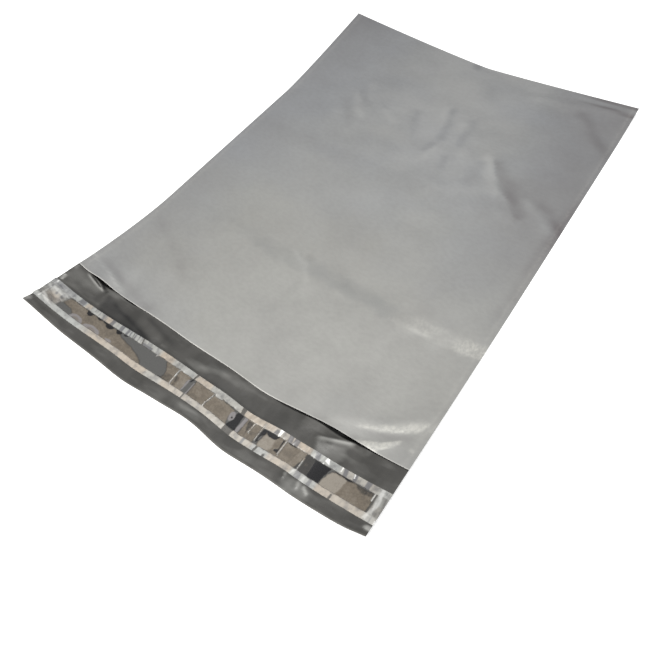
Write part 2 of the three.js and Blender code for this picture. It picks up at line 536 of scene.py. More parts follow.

# Painted highlights (above 0) and painted shade (below 0) along a line on the lip's inner face: lit and
# shaded fold flanks, glints and the shadow line above the strip
LIP_STREAKS: tuple[Crease, ...] = (
    Crease(((-143, -1.8), (-132, -4.6), (-120.6, -7.2)), 0.6, 0.7, 1, 6),
    Crease(((-138, 0.4), (-129, -3), (-120.6, -6.4)), 0.6, 0.5, 0.5, 5),
    Crease(((-126, -5.2), (-120.6, -7)), 0.5, 0.6, 0.7, 2),
    Crease(((-139, -1.6), (-130, -3.8), (-123, -6)), -0.6, 0.5, 0.5, 4),
    Crease(((-134, 0.4), (-127, -1.8), (-119.8, -5)), -1, 0.9, 1.2, 3),
    Crease(((-151.2, 3), (-150.6, -7)), 0.25, 0.9, 0.9, 3),
    Crease(((-17, -15), (0, -10), (16, -8)), 0.1, 1.6, 1.6, 8),
    Crease(((-8, -42.5), (-2, -45), (10, -43), (22, -42)), 0.12, 1.3, 1.3, 6),
    Crease(((-118.5, -4), (-118.8, -7.6)), -0.5, 0.8, 0.8, 1.5),
    Crease(((-80, -3.5), (-58, -8), (-38, -12.5)), -0.45, 2.4, 2, 10),
    Crease(((-150, -19), (0, -18.8), (80, -19)), -0.35, 0.9, 0.9, 20),
    Crease(((88, -10.8), (102, -5.4), (115, -0.7)), 0.4, 0.8, 1.8, 5),
    Crease(((97, -7.4), (108, -3.4), (115, -0.8)), 0.3, 0.7, 1.3, 5),
    Crease(((67, -18), (78, -14.6), (92, -11.6)), 0.12, 1.3, 1.3, 6),
    Crease(((95, -11.4), (102, -8.6)), -0.2, 0.8, 0.8, 3),
    Crease(((94, -13), (104, -10), (112, -7)), 0.12, 1.4, 1.8, 4),
    Crease(((86, -39), (87, -44.5)), 0.35, 1.2, 1.2, 3),
    Crease(((96.5, -39), (98.5, -46)), 0.35, 1.3, 1.3, 3),
    Crease(((100.5, -41.5), (107.5, -45.8)), 0.55, 0.9, 1.1, 2),
    Crease(((-60, -19), (-112, -8)), -0.3, 1.2, 4, 10),
    Crease(((-151, -12.5), (-150, -18.5)), 1, 0.9, 0.9, 1),
)


@dataclass(frozen=True)
class Tint:
    """A soft-edged patch that looks paler (above 0) or darker (below 0)."""

    mark: Mark
    strength: float
    soft: float = 2.0

    def strength_at(self, u: np.ndarray, v: np.ndarray, ragged: np.ndarray) -> np.ndarray:
        """The tint at each place, its edge strayed by so many millimetres."""
        return self.strength * smooth_step(-self.soft, self.soft, self.mark.depth_at(u, v) + ragged)


# Painted light (above 0) and painted shade (below 0) in soft patches on the lip's inner face: the shaded band
# of its slanting fold, the lit fan under the gape and highlights along the free edge
LIP_TINTS: tuple[Tint, ...] = (
    Tint(Blot(((-114, -7.5), (-52, -17.5), (-70, -21), (-112, -21))), -0.6, 2.2),
    Tint(Blot(((-152, -3), (-127, -4), (-122, -12), (-152, -13))), 0.12, 3),
    Tint(Blot(((74, -1), (90, 0), (86, -5), (74, -9))), 0.12, 2.5),
    Tint(Disc(124.4, -2, 1.8, 3), 0.1, 1.5),
    Tint(Blot(((89, -11), (114, -1.5), (113, -9), (111, -21), (94, -21))), 0.13, 2.4),
    Tint(Disc(20, -9, 13, 3.4), 0.16, 2),
    Tint(Disc(-14, -14.6, 9, 2.6), 0.16, 2),
    Tint(Disc(58, -46, 7, 4), 0.1, 2),
    Tint(Disc(97, -45.5, 10, 5.5), 0.24, 2.4),
    Tint(Disc(-151.4, -46.6, 1.6, 3), 0.45, 0.9),
    Tint(Disc(5, -45.5, 17, 3.6), 0.14, 2),
    Tint(Disc(151, -43.6, 3.4, 1.9), 0.7, 0.9),
    Tint(Disc(-104, -4, 16, 4), 0.1, 2.5),
    Tint(Blot(((-152, -8), (-124, -8), (-118, -20), (-152, -20))), 0.075, 3),
    Tint(Blot(((4, -13), (60, -8), (84, -6), (86, -19), (4, -19))), -0.15, 3),
    Tint(Disc(126, -46, 20, 5), 0.06, 2),
)

# Painted highlights on the outer face where the folds by the mouth's right-hand end catch the light
MOUTH_SHEENS: tuple[Tint, ...] = (
    Tint(Blot(((108, 11), (124, 20.6), (138, 29.6), (147, 35.6), (148, 31), (140, 23.6), (126, 16),
        (110, 10))), 0.85, 1.5),
    Tint(Blot(((112, 1), (126, 8), (138.6, 15.4), (134, 8.4), (127, 1.2), (120, -3), (112, -3))),
        0.95, 0.8),
    Tint(Disc(151, 34, 1.4, 3), 0.5, 0.8),
    Tint(Disc(147, 13, 1.8, 1.6), 0.4, 0.8),
)


# ---- Meshes


class FilmMesh:
    """Gathers grids of vertices and the faces between them into one closed mesh."""

    def __init__(self) -> None:
        """Starts with no vertices and no faces."""
        self.points: list[np.ndarray] = []
        self.places: list[np.ndarray] = []
        self.triangles: list[np.ndarray] = []
        self.faces: list[np.ndarray] = []
        self.count = 0

    def layer(self, places: np.ndarray, points: np.ndarray) -> np.ndarray:
        """Adds a block of vertices.

        Args:
            places: (..., 3) places on the flat film, in millimetres, and the panel's number.
            points: (..., 3) where they lie, in metres.

        Returns:
            The vertices' numbers, in the same block.
        """
        shape = points.shape[:-1]
        size = int(np.prod(shape))
        self.points.append(points.reshape(-1, 3))
        self.places.append(places.reshape(-1, 3))
        numbers = np.arange(self.count, self.count + size).reshape(shape)
        self.count += size
        return numbers

    def cover(self, grid: np.ndarray, facing_up: bool, face: Face) -> None:
        """Covers a block of vertices with faces, split alike whichever way they look.

        Args:
            grid: the vertices' numbers.
            facing_up: whether the faces look up.
            face: the finish they take.
        """
        near, far = grid[:-1], grid[1:]
        corners = (near[:, :-1], far[:, :-1], far[:, 1:], near[:, 1:])
        for split in ((0, 1, 2), (0, 2, 3)):
            turn = split if facing_up else split[::-1]
            self._add(np.stack([corners[k] for k in turn], axis=-1).reshape(-1, 3), face)

    def wall(self, lower: np.ndarray, upper: np.ndarray, face: Face) -> None:
        """Joins two lines of vertices by faces that look right of the walk along them."""
        self._add(np.stack([lower[:-1], lower[1:], upper[1:]], axis=-1), face)
        self._add(np.stack([lower[:-1], upper[1:], upper[:-1]], axis=-1), face)

    def surround(self, lower: np.ndarray, upper: np.ndarray, face: Face) -> None:
        """Closes the four sides between two blocks of vertices of the same size."""
        self.wall(lower[:, 0], upper[:, 0], face)
        self.close(lower, upper, face)

    def close(self, lower: np.ndarray, upper: np.ndarray, face: Face) -> None:
        """Closes all the sides between two blocks but the first row's."""
        for turn in ((-1, slice(None)), (slice(None, None, -1), -1), (0, slice(None, None, -1))):
            self.wall(lower[turn], upper[turn], face)

    def ease(
        self, fine: np.ndarray, coarse: np.ndarray, kept: np.ndarray, facing_up: bool, face: Face
    ) -> None:
        """Joins a line of many vertices to the next line, of fewer.

        Args:
            fine: the many vertices.
            coarse: the fewer ones.
            kept: where in the fine line each coarse vertex's neighbour is.
            facing_up: whether the faces look up.
            face: the finish they take.
        """
        made = []
        for i, (start, end) in enumerate(zip(kept, kept[1:])):
            middle = (start + end) // 2
            made += [(fine[k], coarse[i], fine[k + 1]) for k in range(start, middle)]
            made.append((fine[middle], coarse[i], coarse[i + 1]))
            made += [(fine[k], coarse[i + 1], fine[k + 1]) for k in range(middle, end)]
        triangles = np.array(made)
        self._add(triangles if facing_up else triangles[:, ::-1], face)

    def _add(self, triangles: np.ndarray, face: Face) -> None:
        """Keeps some faces and the finish they take."""
        self.triangles.append(triangles)
        self.faces.append(np.full(len(triangles), face.value))

    def _single(self, triangles: np.ndarray) -> np.ndarray:
        """Finds the faces that don't lie back to back with another on the same three vertices.

        Args:
            triangles: every face's vertices.

        Returns:
            Whether each face is to be kept.
        """
        corners = np.sort(triangles, axis=1)
        _, match, count = np.unique(corners, axis=0, return_inverse=True, return_counts=True)
        return count[match.ravel()] == 1

    def all_places(self) -> np.ndarray:
        """Every vertex's place on the flat film and the panel it belongs to, one column each."""
        return np.concatenate(self.places).T

    def build(self, name: str, attributes: dict[str, np.ndarray]) -> bpy.types.Object:
        """Makes the object.

        Args:
            name: the piece's name.
            attributes: one value per vertex under each name, for the finishes to read.

        Returns:
            The new object, linked to the scene.
        """
        triangles = np.concatenate(self.triangles)
        kept = self._single(triangles)
        used, renumbered = np.unique(triangles[kept], return_inverse=True)
        mesh = bpy.data.meshes.new(name)
        mesh.from_pydata(np.concatenate(self.points)[used].tolist(), [], renumbered.reshape(-1, 3).tolist())
        mesh.polygons.foreach_set("material_index", np.concatenate(self.faces)[kept].astype(np.int32))
        mesh.polygons.foreach_set("use_smooth", np.ones(len(mesh.polygons), bool))
        for label, values in attributes.items():
            made = mesh.attributes.new(label, "FLOAT", "POINT")
            made.data.foreach_set("value", values[used].astype(np.float32))
        mesh.update()
        mesh.set_sharp_from_angle(angle=math.radians(40))
        piece = bpy.data.objects.new(name, mesh)
        bpy.context.scene.collection.objects.link(piece)
        return piece


def spaced(marks: tuple[float, ...], steps: tuple[float, ...]) -> np.ndarray:
    """Stations between marks, with a step of about the given size in each interval.

    Args:
        marks: the marks, in order.
        steps: the step in each interval between marks.

    Returns:
        The stations, every mark included.
    """
    stations = [np.array([marks[0]])]
    for low, high, step in zip(marks, marks[1:], steps):
        count = max(1, round((high - low) / step))
        stations.append(np.linspace(low, high, count + 1)[1:])
    return np.concatenate(stations)


# ---- Finishes

Colour = tuple[float, float, float]
Socket = bpy.types.NodeSocket
Value = float | Colour | Socket


class NodeBench:
    """A short way to lay out one material's nodes."""

    def __init__(self, name: str) -> None:
        """Starts an empty material.

        Args:
            name: the material's name.
        """
        self.material = bpy.data.materials.new(name)
        self.material.use_nodes = True
        self.tree = self.material.node_tree
        self.tree.nodes.clear()

    def node(self, kind: str, values: dict[str | int, Value], **settings: object) -> bpy.types.Node:
        """Adds a node.

        Args:
            kind: the node's type.
            values: what goes into its inputs: a number, a colour or another node's output.
            settings: its own properties.

        Returns:
            The node.
        """
        made = self.tree.nodes.new(kind)
        for key, setting in settings.items():
            setattr(made, key, setting)
        for key, value in values.items():
            socket = made.inputs[key]
            if isinstance(value, Socket):
                self.tree.links.new(value, socket)
            elif isinstance(value, tuple) and socket.type == "RGBA":
                socket.default_value = (*value, 1.0)
            else:
                socket.default_value = value
        return made

    def reading(self, name: str) -> Socket:
        """The value of one of the mesh's attributes."""
        return self.node("ShaderNodeAttribute", {}, attribute_name=name).outputs["Fac"]

    def places(self, stretch: Colour = (1.0, 1.0, 1.0)) -> Socket:
        """Places on the piece in metres, stretched along each axis."""
        source = self.node("ShaderNodeTexCoord", {}).outputs["Object"]
        return self.node("ShaderNodeMapping", {"Vector": source, "Scale": stretch}).outputs[0]

    def noise(self, places: Socket, scale: float, detail: float = 3.0) -> Socket:
        """Noise from 0 to 1, with scale cells to the metre."""
        values = {"Vector": places, "Scale": scale, "Detail": detail}
        return self.node("ShaderNodeTexNoise", values).outputs["Fac"]

    def maths(self, operation: str, first: Value, second: Value = 0.0) -> Socket:
        """One sum on two values."""
        return self.node("ShaderNodeMath", {0: first, 1: second}, operation=operation).outputs[0]

    def spread(
        self, value: Value, low: float, high: float, to_low: float = 0.0, to_high: float = 1.0
    ) -> Socket:
        """Maps a value from one range to another, clamped.

        Args:
            value: the value.
            low: where the range starts.
            high: where it ends.
            to_low: what low becomes.
            to_high: what high becomes.

        Returns:
            The mapped value.
        """
        values = {"Value": value, "From Min": low, "From Max": high, "To Min": to_low, "To Max": to_high}
        return self.node("ShaderNodeMapRange", values).outputs[0]

    def blend(self, share: Value, first: Value, second: Value) -> Socket:
        """A colour between two, by share."""
        return self.node("ShaderNodeMix", {0: share, 6: first, 7: second}, data_type="RGBA").outputs[2]

    def toned(self, tone: Socket, base: Value, dark: Colour, pale: Colour) -> Socket:
        """The base, turned towards dark where the tone is below 0 and towards pale where it is above."""
        darkened = self.blend(self.spread(tone, 0.0, -1.0), base, dark)
        return self.blend(self.spread(tone, 0.0, 1.0), darkened, pale)

    def relief(self, height: Socket, strength: float, distance: float) -> Socket:
        """A normal that follows a fine relief of the given height in metres."""
        values = {"Height": height, "Strength": strength, "Distance": distance}
        return self.node("ShaderNodeBump", values).outputs[0]

    def finish(self, shader: Socket) -> bpy.types.Material:
        """Joins a shader to the material's output and hands over the material."""
        self.node("ShaderNodeOutputMaterial", {"Surface": shader})
        return self.material


@dataclass(frozen=True)
class OuterFilmFinish:
    """Satin silver-grey film, with painted highlights on its folds and cut edges, painted shade along its
    folds and a painted cool reflection.
    """

    name: str = "outer_film_satin"
    colour: Colour = (0.335, 0.336, 0.322)
    shade: Colour = (0.31, 0.309, 0.299)
    # Painted light and shade: a cool reflection, shade along the memory fold, sheen on the folds with the
    # weld line's paler colour, cut-edge highlights, and the dark and pale ends of the fold streaks; the dark
    # end also darkens the random mottle
    cool_reflection: Colour = (0.326, 0.335, 0.348)
    painted_fold_shade: Colour = (0.236, 0.242, 0.242)
    weld_and_painted_sheen: Colour = (0.56, 0.555, 0.52)
    cut_edge_highlight: Colour = (0.9, 0.88, 0.84)
    dim: Colour = (0.17, 0.158, 0.164)
    painted_highlight: Colour = (0.62, 0.62, 0.6)
    roughness: float = 0.44

    def material(self) -> bpy.types.Material:
        """Builds the finish.

        Returns:
            The material.
        """
        bench = NodeBench(self.name)
        places = bench.places()
        cloud = bench.noise(places, 14.0, 4.0)
        mottle = bench.noise(bench.places((1.0, 1.5, 1.0)), 230.0, 5.0)
        speck = bench.noise(places, 800.0, 2.0)
        base = bench.blend(bench.spread(cloud, 0.35, 0.65), self.colour, self.shade)
        fold_shading = bench.maths("MULTIPLY", bench.reading("fold_shade"), bench.spread(speck, 0.3, 0.7, 0.7, 1.0))
        # painted cool reflection, bluer far off and to the left
        base = bench.blend(bench.reading("cool_reflection"), base, self.cool_reflection)
        base = bench.blend(bench.spread(mottle, 0.4, 0.62, 0.0, 0.1), base, self.dim)
        # painted shade along the memory fold
        base = bench.blend(fold_shading, base, self.painted_fold_shade)
        # painted highlights and shade along the folds and over the panel
        base = bench.toned(bench.reading("tone"), base, self.dim, self.painted_highlight)
        fleck = bench.noise(bench.places((1.0, 0.7, 1.0)), 480.0, 4.0)
        # painted sheen where the folds catch the light, with the paler weld line; the same mask roughens the
        # crinkle
        pale = bench.maths("MULTIPLY", bench.reading("crinkle_and_sheen"), bench.spread(fleck, 0.38, 0.6, 0.35, 1.0))
        base = bench.blend(pale, base, self.weld_and_painted_sheen)
        # painted highlight along the cut edges
        base = bench.blend(bench.reading("cut_edge_highlight"), base, self.cut_edge_highlight)
        smear = bench.noise(places, 60.0)
        rough = bench.spread(smear, 0.3, 0.7, self.roughness - 0.04, self.roughness + 0.05)
        crinkle = bench.noise(bench.places((1.0, 0.7, 1.0)), 250.0, 4.0)
        grain = bench.noise(places, 1400.0, 2.0)
        height = bench.maths(
            "ADD",
            bench.maths("MULTIPLY", crinkle, bench.maths("MULTIPLY", bench.reading("crinkle_and_sheen"), 3.5)),
            bench.maths("ADD", bench.maths("MULTIPLY", grain, 0.3), bench.maths("MULTIPLY", mottle, 1.1)),
        )
        normal = bench.relief(height, 0.6, 0.00014)
        shader = bench.node(
            "ShaderNodeBsdfPrincipled",
            {"Base Color": base, "Roughness": rough, "Metallic": 0.12, "IOR": 1.5, "Normal": normal},
        )
        return bench.finish(shader.outputs[0])


@dataclass(frozen=True)
class InnerFilmFinish:
    """The film's glossier dark grey inner face, with painted highlights and shade on the lip and a painted
    highlight along its cut end.
    """

    name: str = "inner_film_gloss"
    colour: Colour = (0.084, 0.082, 0.078)
    shade: Colour = (0.06, 0.059, 0.056)
    unlit: Colour = (0.004, 0.004, 0.004)
    # a painted highlight along the lip's cut end, and the dark and pale ends of the painted light and shade
    # on the lip
    cut_edge_highlight: Colour = (0.6, 0.58, 0.54)
    dim: Colour = (0.02, 0.02, 0.021)
    painted_highlight: Colour = (0.42, 0.42, 0.405)
    roughness: float = 0.27

    def material(self) -> bpy.types.Material:
        """Builds the finish.

        Returns:
            The material.
        """
        bench = NodeBench(self.name)
        places = bench.places()
        streaks = bench.noise(bench.places((1.0, 0.3, 1.0)), 60.0, 4.0)
        base = bench.blend(bench.spread(streaks, 0.35, 0.65), self.colour, self.shade)
        # painted highlights and shade on the lip
        base = bench.toned(bench.reading("gloss"), base, self.dim, self.painted_highlight)
        base = bench.blend(bench.reading("shut"), base, self.unlit)
        # painted highlight along the lip's cut end
        base = bench.blend(bench.reading("cut_edge_highlight"), base, self.cut_edge_highlight)
        smear = bench.noise(places, 90.0)
        rough = bench.spread(smear, 0.3, 0.7, self.roughness - 0.05, self.roughness + 0.06)
        normal = bench.relief(bench.noise(places, 500.0, 3.0), 0.5, 0.00008)
        shader = bench.node(
            "ShaderNodeBsdfPrincipled",
            {"Base Color": base, "Roughness": rough, "IOR": 1.5, "Normal": normal},
        )
        return bench.finish(shader.outputs[0])


@dataclass(frozen=True)
class AdhesiveFinish:
    """Hot-melt seen through its liner: taupe where wetted, grey where loose, near black where bare."""

    name: str = "adhesive_hot_melt"
    wetted: Colour = (0.168, 0.143, 0.114)
    wetted_pale: Colour = (0.29, 0.263, 0.228)
    wetted_dark: Colour = (0.036, 0.035, 0.034)
    loose: Colour = (0.1, 0.101, 0.1)
    blister: Colour = (0.25, 0.237, 0.245)
    bare: Colour = (0.006, 0.007, 0.01)

    def material(self) -> bpy.types.Material:
        """Builds the finish.

        Returns:
            The material.
        """
        bench = NodeBench(self.name)
        places = bench.places()
        grain = bench.spread(bench.noise(places, 620.0, 4.0), 0.38, 0.62, -0.14, 0.14)
        tone = bench.maths("ADD", bench.reading("tone"), grain)
        tan = bench.toned(tone, self.wetted, self.wetted_dark, self.wetted_pale)
        wet = bench.reading("wet")
        base = bench.blend(bench.spread(wet, -0.15, 0.15), self.loose, tan)
        on_rim = bench.maths("SUBTRACT", 1.0, bench.spread(bench.maths("ABSOLUTE", wet), 0.2, 0.8))
        base = bench.blend(bench.maths("MULTIPLY", on_rim, 0.5), base, self.wetted_dark)
        base = bench.blend(bench.maths("MULTIPLY", bench.reading("blister"), 0.9), base, self.blister)
        base = bench.blend(bench.reading("bare"), base, self.bare)
        normal = bench.relief(bench.noise(places, 800.0, 3.0), 0.4, 0.0001)
        shader = bench.node(
            "ShaderNodeBsdfPrincipled",
            {"Base Color": base, "Roughness": 0.38, "Specular IOR Level": 0.25, "Normal": normal},
        )
        return bench.finish(shader.outputs[0])


@dataclass(frozen=True)
class LinerFinish:
    """Clear release film, milky where it stands off the lip."""

    name: str = "release_liner_clear"
    clear: Colour = (0.2, 0.19, 0.18)
    silver: Colour = (0.385, 0.395, 0.385)
    cream: Colour = (0.45, 0.385, 0.315)
    mauve: Colour = (0.142, 0.142, 0.155)
    # painted glints and sheen
    white: Colour = (0.95, 0.95, 0.93)
    veil: float = 0.04

    def material(self) -> bpy.types.Material:
        """Builds the finish.

        Returns:
            The material.
        """
        bench = NodeBench(self.name)
        streaks = bench.noise(bench.places((1.0, 0.22, 0.22)), 520.0, 3.0)
        blotch = bench.noise(bench.places(), 210.0, 4.0)
        milk = bench.reading("milk")
        haze = bench.blend(bench.reading("cream"), self.silver, self.cream)
        haze = bench.blend(bench.spread(blotch, 0.5, 0.72, 0.0, 0.55), haze, self.mauve)
        haze = bench.blend(bench.reading("mauve"), haze, self.mauve)
        base = bench.blend(milk, self.clear, haze)
        # painted glints and sheen
        base = bench.blend(bench.reading("white"), base, self.white)
        dense = bench.spread(blotch, 0.35, 0.65, 0.97, 0.8)
        milky = bench.maths("MULTIPLY", milk, bench.maths("SUBTRACT", dense, self.veil))
        cover = bench.maths("ADD", milky, self.veil)
        cover = bench.maths("MAXIMUM", cover, bench.reading("white"))
        normal = bench.relief(streaks, 0.6, 0.00012)
        rough = bench.spread(milk, 0.0, 1.0, 0.16, 0.4)
        shader = bench.node(
            "ShaderNodeBsdfPrincipled",
            {"Base Color": base, "Roughness": rough, "IOR": 1.6, "Normal": normal},
        )
        see_through = bench.node("ShaderNodeBsdfTransparent", {})
        mixed = bench.node("ShaderNodeMixShader", {0: cover, 1: see_through.outputs[0], 2: shader.outputs[0]})
        return bench.finish(mixed.outputs[0])


# ---- Pieces


@dataclass
class FilmLooks:
    """How the film looks at each place, on its back panel (0) and its front one (1)."""

    shape: BagShape
    u: np.ndarray
    v: np.ndarray
    panel: np.ndarray
    rough: np.ndarray = field(init=False)

    def __post_init__(self) -> None:
        """Lays the unevenness that the painted sheen, fold shade and cut-edge highlights share."""
        self.rough = layered_noise(self.u, self.v, (9, 5), 77)

    def weld_and_painted_sheen(self) -> np.ndarray:
        """Painted sheen where the folds catch the light, along the memory fold and by the mouth, and a paler
        line along the welds.

        Returns:
            The mark's strength at each place.
        """
        u, v, rough = self.u, self.v, self.rough
        low_edge = np.interp(u, (82, 92, 104, 125, 138, 152), (92, 91, 95, 94, 93.5, 97))
        high_edge = np.interp(u, (82, 100, 130, 152), (103.5, 106.5, 109, 111))
        within = np.minimum(v - low_edge, high_edge - v) + 1.8 * rough
        along_fold = smooth_step(-1.5, 3, within) * smooth_step(76, 86, u + 4 * rough)
        along_fold *= 0.2 + 0.4 * smooth_step(126, 146, u) + 0.24 * rough
        flecks = sum(tint.strength_at(u, v, 0.8 * rough) for tint in MOUTH_SHEENS)
        seam = 0.14 * bump(np.abs(u), self.shape.half_width - 4.2, 1.6)
        return np.maximum(np.maximum(along_fold, flecks * (1 + 0.5 * rough)), seam)

    def painted_fold_shade(self) -> np.ndarray:
        """Painted shade along the memory fold, on its flank that faces away from the light.

        Returns:
            The mark's strength at each place.
        """
        u, v, rough = self.u, self.v, self.rough
        fold_line = np.interp(u, (-60, -4, 2, 69, 90), (103, 101, 102, 101, 99))
        within = 8 - np.abs(v - fold_line) + 2 * rough
        painted_fold_shade = smooth_step(-2, 4, within) * smooth_step(86, 78, u)
        painted_fold_shade *= 0.26 + 0.1 * smooth_step(-8, 6, u) + 0.16 * bump(u, 70, 12) + 0.24 * rough
        return painted_fold_shade * (0.45 * smooth_step(-152, -120, u) + 0.55 * smooth_step(-74, -48, u))

    def tone(self) -> np.ndarray:
        """Painted light (above 0) and painted shade (below 0) on the outer face, along its folds and where
        the light falls off, over a faint random tone.

        Returns:
            The tone at each place.
        """
        u, v = self.u, self.v
        strayed = self.shape.strayed(u, v)
        tone = sum(streak.height_at(*strayed) for streak in PANEL_STREAKS)
        tone *= 1 + 0.4 * value_noise(u, v, (10, 10), 29)
        tone += (0.05 + 0.05 * bump(v, 290, 80)) * layered_noise(u, v, (22, 16), 33, 4)
        # painted light and shade: paler towards the middle, darker on the right past the memory fold, along
        # the left-hand edge and towards the far end
        tone += 0.05 * smooth_step(-130, -30, u) + 0.12 * bump(u, 0, 52) * smooth_step(240, 330, v)
        tone -= 0.38 * smooth_step(60, 135, u) * smooth_step(110, 250, v)
        tone -= 0.09 * smooth_step(66, 92, u) * smooth_step(352, 378, v)
        tone -= 0.12 * smooth_step(-90, -150, u)
        tone -= 0.12 * smooth_step(-40, -140, u) * smooth_step(280, 400, v)
        tone -= 0.2 * bump(u, -152, 30) * bump(v, 405, 30)
        return tone

    def cool_reflection(self) -> np.ndarray:
        """A painted cool reflection: how bluish the outer face looks, more so far off and to the left."""
        cool_reflection = 0.75 * smooth_step(40, 330, self.v) + 0.4 * smooth_step(-60, -150, self.u)
        return cool_reflection + 0.35 * layered_noise(self.u, self.v, (60, 45), 35)

    def gloss(self) -> np.ndarray:
        """Painted highlights (above 0) and painted shade (below 0) on the lip's inner face, over a faint
        random tone.

        Returns:
            The gloss at each place.
        """
        stray = 1.5 * layered_noise(self.u, self.v, (8, 5), 93)
        gloss = sum(streak.height_at(self.u, self.v) for streak in LIP_STREAKS)
        gloss += sum(tint.strength_at(self.u, self.v, stray) for tint in LIP_TINTS)
        return gloss + 0.12 * layered_noise(self.u, self.v, (14, 4), 95)

    def cut_edge_highlight(self) -> np.ndarray:
        """Where the film's cut edges catch the light: the front panel's mouth and the lip's end.

        Returns:
            The mark's strength at each place.
        """
        bright = 0.62 - 0.25 * smooth_step(40, 60, self.u) + 0.25 * self.rough
        mouth = smooth_step(0.62, 0.3, np.abs(self.v)) * bright
        lip_edge = smooth_step(0.5, 0.3, self.v + self.shape.lip) * 0.25
        return np.where(self.panel > 0.5, mouth, lip_edge)

    def shut(self) -> np.ndarray:
        """Where no light gets in between the panels: past the mouth, and deeper where it gapes.

        Returns:
            The mark's strength, from 0 to 1.
        """
        u = self.u
        gaping = np.maximum(bump(u, -126, 12), 0.5 * bump(u, -98, 9))
        gaping = np.maximum(gaping, np.maximum(bump(u, 103, 19), 0.55 * bump(u, 66, 17)))
        gaping = np.maximum(gaping, 0.34 * smooth_step(42, 56, u))
        off_mouth = self.v - self.shape.mouth_shift(u, np.zeros_like(self.v))
        return smooth_step(-2.5 * gaping, 0.3 - 1.8 * gaping, off_mouth)

    def marks(self) -> dict[str, np.ndarray]:
        """Gathers the looks.

        Returns:
            Each look, by the name under which the finishes read it.
        """
        return {
            "crinkle_and_sheen": np.clip(self.weld_and_painted_sheen() * self.panel, 0, 1),
            "fold_shade": np.clip(self.painted_fold_shade() * self.panel, 0, 1),
            "tone": np.clip(self.tone() * self.panel, -1, 1),
            "cool_reflection": np.clip(self.cool_reflection() * self.panel, 0, 1),
            "gloss": np.clip(self.gloss(), -1, 1),
            "cut_edge_highlight": np.clip(self.cut_edge_highlight(), 0, 1),
            "shut": self.shut(),
        }


